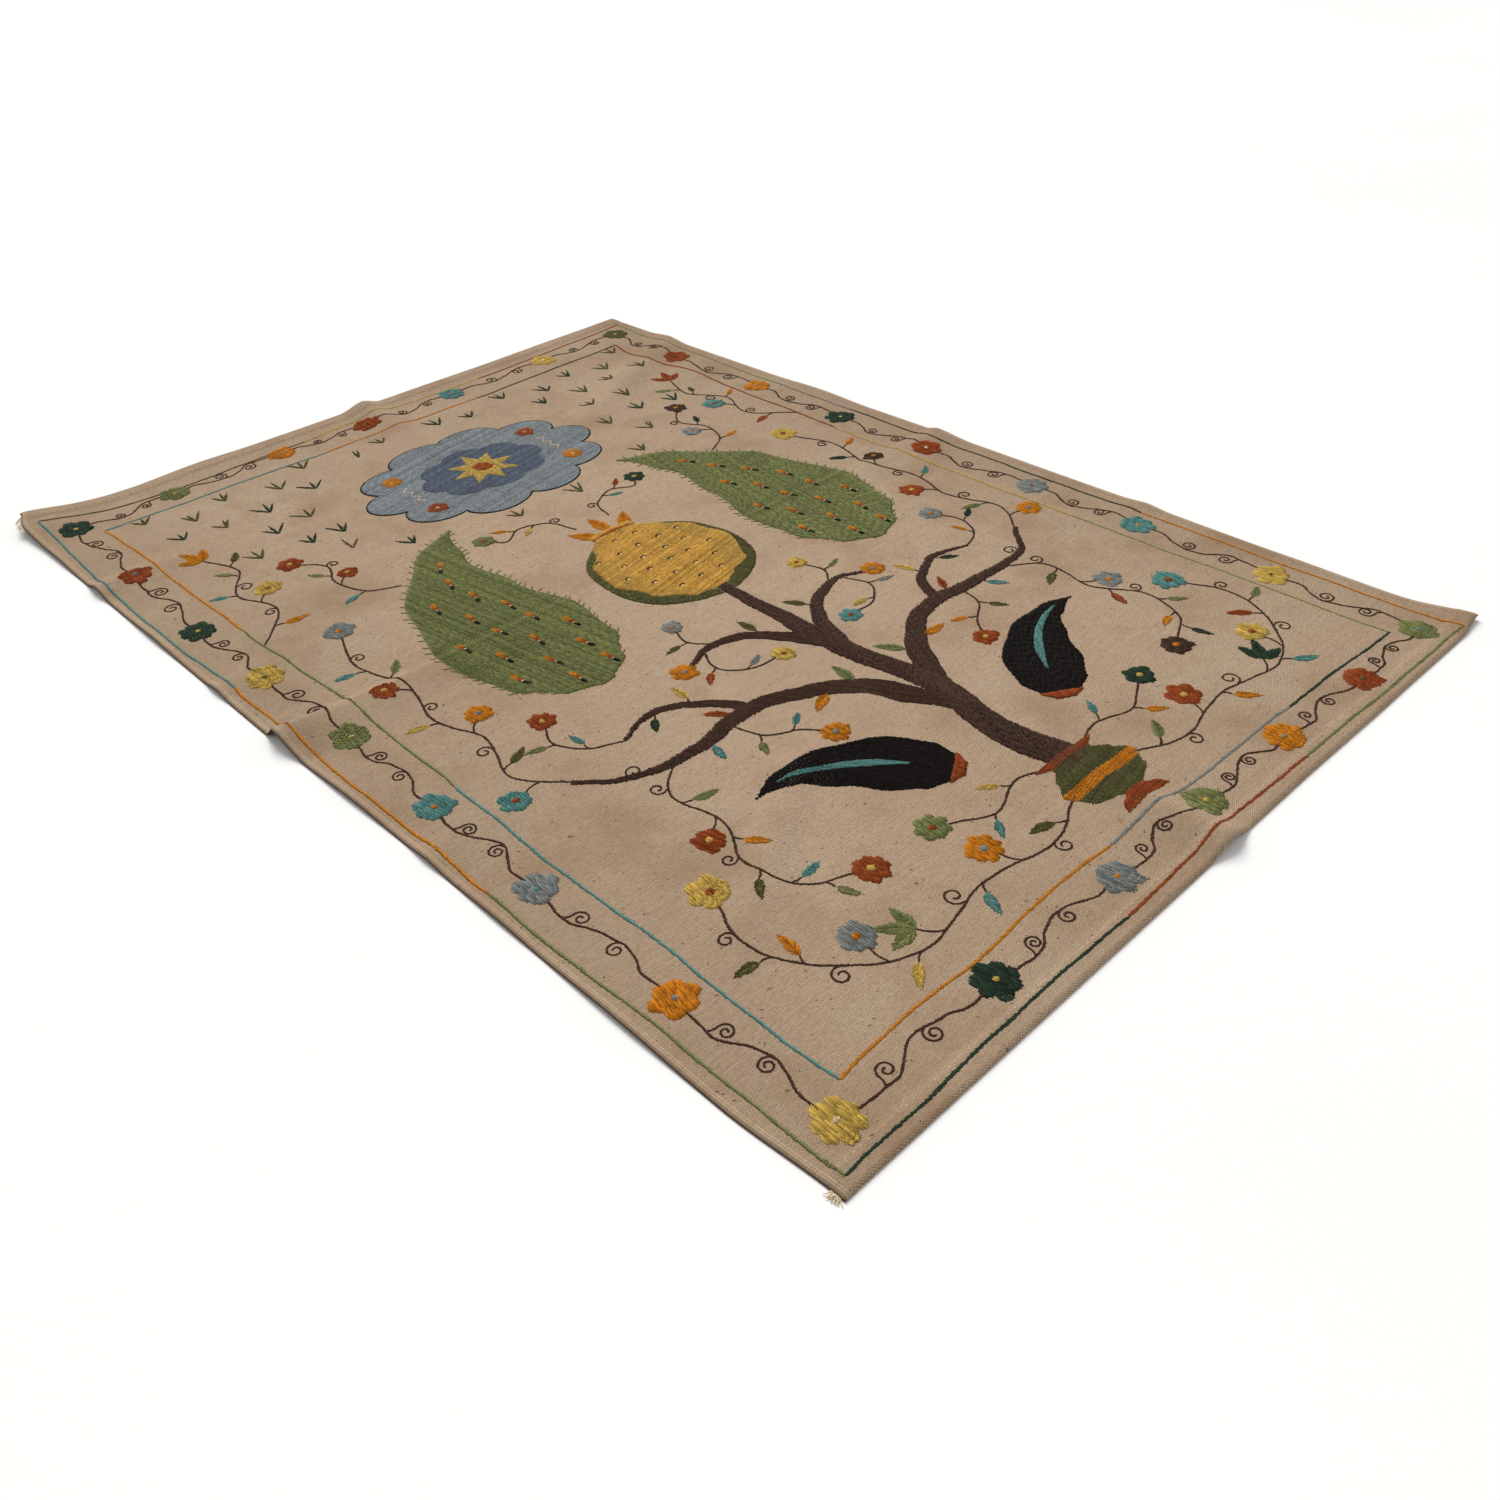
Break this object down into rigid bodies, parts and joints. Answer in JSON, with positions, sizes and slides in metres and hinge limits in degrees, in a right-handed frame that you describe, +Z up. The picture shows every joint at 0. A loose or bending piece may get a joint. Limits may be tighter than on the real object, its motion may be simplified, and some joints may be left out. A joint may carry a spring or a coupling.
{
  "type": "embroidered kilim rug",
  "caption": "Flat-woven wool rug with hemmed short ends, bound selvedges and old storage folds, embroidered with a tree, palm-leaf shapes and a flower border.",
  "frame": {"origin": "on the floor, under the middle of the rug's bounding box", "axes": "+Z up, +Y along the rug's length and its warps, +X across it from the left selvedge to the right one"},
  "size_m": [1.4285, 2.057, 0.024],
  "materials": {
    "wool_cloth": "undyed beige wool, plain weave with fine ribs along the warps, a little mottled and worn",
    "warp_cotton": "loose cream cotton yarn"
  },
  "bodies": {
    "root": {"kilim_cloth": "wool_cloth", "near_corner_warp_ends": "warp_cotton", "far_corner_warp_ends": "warp_cotton"}
  },
  "joints": []
}
